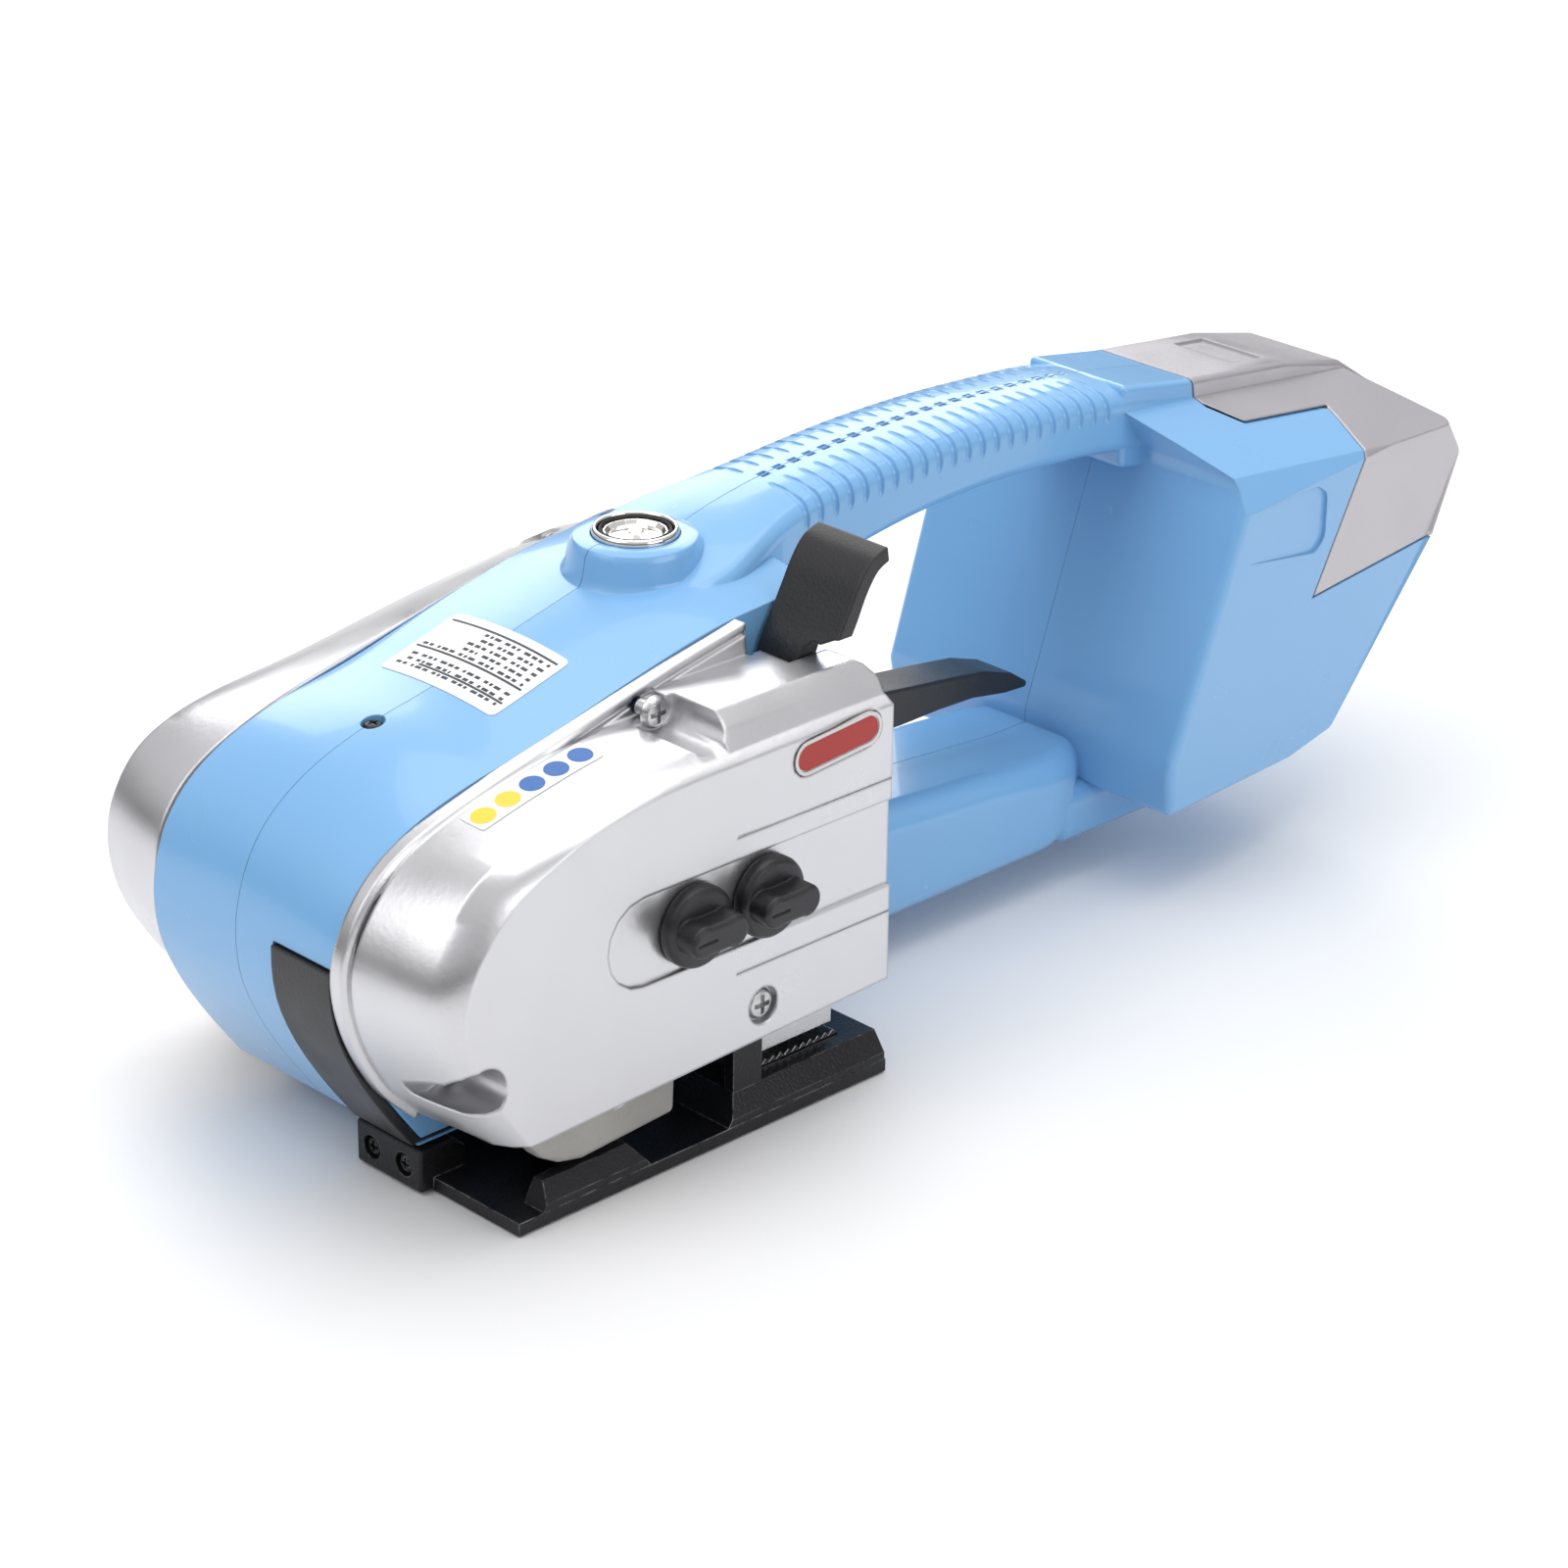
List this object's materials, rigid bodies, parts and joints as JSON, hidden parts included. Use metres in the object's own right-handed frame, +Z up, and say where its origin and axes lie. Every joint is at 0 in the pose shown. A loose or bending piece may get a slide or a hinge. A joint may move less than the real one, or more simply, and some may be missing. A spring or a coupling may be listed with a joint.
{
  "type": "battery strapping tool",
  "caption": "Hand-held battery tool for plastic strap: a blue housing with a ribbed handle, silver side covers, start button, weld lever, setting knobs and a battery pack at the rear.",
  "frame": {"origin": "middle of the bounding box in plan, on the plane that the base stands on", "axes": "+Z up, -X towards the nose, +X towards the battery pack, -Y towards the strap side with the two knobs"},
  "size_m": [0.3765, 0.1414, 0.1297],
  "materials": {
    "blue_plastic": "moulded light blue plastic with a soft gloss",
    "silver_metal": "fine satin silver",
    "cap_plastic": "metallic grey satin",
    "gear_case": "plain die cast",
    "black_plastic": "satin black",
    "button_chrome": "polished",
    "black_steel": "blackened steel with bright worn edges",
    "bright_steel": "machined",
    "rocker_cast": "rough cast grey",
    "bush_bronze": "sintered bronze",
    "board_green": "green lacquer",
    "cell_sleeve": "shrink sleeve",
    "white_label": null,
    "badge_metal": "blank badge plate"
  },
  "bodies": {
    "housing": {"badge": "badge_metal", "base_plate": "black_steel", "battery_cap": "cap_plastic", "battery_cell_1": "cell_sleeve", "battery_cell_2": "cell_sleeve", "battery_cell_3": "cell_sleeve", "battery_cell_4": "cell_sleeve", "battery_cell_5": "cell_sleeve", "bracket_screw_inner": "black_steel", "bracket_screw_outer": "black_steel", "button_bezel": "button_chrome", "button_spring": "bright_steel", "cell_tray": "black_plastic", "charging_socket": "black_plastic", "control_board": "board_green", "cutter_blade": "bright_steel", "gear_housing": "gear_case", "housing_left": "blue_plastic", "housing_right": "blue_plastic", "icon_label": "white_label", "motor_can": "black_steel", "motor_cover": "silver_metal", "motor_cover_screw_low": "bright_steel", "motor_cover_screw_nose": "bright_steel", "motor_cover_screw_top": "bright_steel", "motor_end_cap": "silver_metal", "nose_guard": "black_plastic", "rating_label": "white_label", "shell_screw_bridge": "black_steel", "shell_screw_front": "black_steel", "shell_screw_rear": "black_steel", "start_switch": "black_plastic", "strap_cover": "silver_metal", "strap_cover_screw_low": "bright_steel", "strap_cover_screw_nose": "bright_steel", "strap_cover_screw_top": "bright_steel", "tension_pot": "bright_steel", "tooth_plate": "bright_steel", "top_screw": "black_steel", "trigger_pin": "bright_steel", "trigger_spring": "bright_steel", "weld_lever_pin": "bright_steel", "weld_time_pot": "bright_steel"},
    "rocker": {"rocker_arm": "rocker_cast", "rocker_bush": "bush_bronze"},
    "tension_wheel_set": {"tension_wheel": "bright_steel", "wheel_shaft": "bright_steel", "wheel_gear": "bright_steel"},
    "drive_set": {"drive_shaft": "bright_steel", "drive_gear": "bright_steel", "bevel_gear": "bright_steel"},
    "rotor": {"rotor_shaft": "bright_steel"},
    "eccentric": {"eccentric_shaft": "bright_steel"},
    "weld_shoe": {"weld_head": "bright_steel"},
    "lift_trigger": {"lift_trigger": "black_plastic"},
    "weld_lever": {"weld_lever": "black_plastic"},
    "start_button": {"start_button": "button_chrome"},
    "tension_knob": {"tension_knob": "black_plastic"},
    "weld_time_knob": {"weld_time_knob": "black_plastic"}
  },
  "joints": [
    {"name": "start_press", "type": "slide", "parent": "housing", "child": "start_button", "axis": [0, 0, -1], "range_m": [0, 0.0025], "stiffness_N_per_m": 600, "springref_m": -0.001, "deforming": ["button_spring"]},
    {"name": "weld_lever_tilt", "type": "hinge", "parent": "housing", "child": "weld_lever", "pos_m": [-0.0593, -0.0413, 0.097], "axis": [0, 1, 0], "range_deg": [0, 20], "stiffness_Nm_per_rad": 0.08, "springref_deg": -11.46},
    {"name": "lift_trigger_pull", "type": "hinge", "parent": "housing", "child": "lift_trigger", "pos_m": [-0.0555, 0.0017, 0.058], "axis": [0, -1, 0], "range_deg": [0, 12], "stiffness_Nm_per_rad": 0.35, "springref_deg": -6.88},
    {"name": "rocker_lift", "type": "hinge", "parent": "housing", "child": "rocker", "pos_m": [-0.1055, -0.0419, 0.038], "axis": [0, 1, 0], "range_deg": [0, 8]},
    {"name": "drive_spin", "type": "hinge", "parent": "housing", "child": "drive_set", "pos_m": [-0.1055, 0.0047, 0.038], "axis": [0, 1, 0], "continuous": true},
    {"name": "wheel_spin", "type": "hinge", "parent": "rocker", "child": "tension_wheel_set", "pos_m": [-0.1295, -0.0419, 0.0236], "axis": [0, 1, 0], "continuous": true},
    {"name": "rotor_spin", "type": "hinge", "parent": "housing", "child": "rotor", "pos_m": [-0.0675, 0.0467, 0.037], "axis": [1, 0, 0], "continuous": true},
    {"name": "eccentric_spin", "type": "hinge", "parent": "housing", "child": "eccentric", "pos_m": [-0.0695, 0.0047, 0.04], "axis": [0, 1, 0], "continuous": true},
    {"name": "weld_shake", "type": "slide", "parent": "housing", "child": "weld_shoe", "axis": [0, 1, 0], "range_m": [-0.0013, 0.0013]},
    {"name": "tension_knob_turn", "type": "hinge", "parent": "housing", "child": "tension_knob", "pos_m": [-0.1109, -0.0613, 0.0604], "axis": [0, 1, 0], "range_deg": [-135, 135]},
    {"name": "weld_time_knob_turn", "type": "hinge", "parent": "housing", "child": "weld_time_knob", "pos_m": [-0.0887, -0.0613, 0.0604], "axis": [0, 1, 0], "range_deg": [-135, 135]}
  ],
  "couplings": [
    {"joint": "rocker_lift", "follows": "lift_trigger_pull", "ratio": 0.6666},
    {"joint": "rotor_spin", "follows": "drive_spin", "ratio": 2.25},
    {"joint": "wheel_spin", "follows": "drive_spin", "ratio": -1.1667}
  ]
}
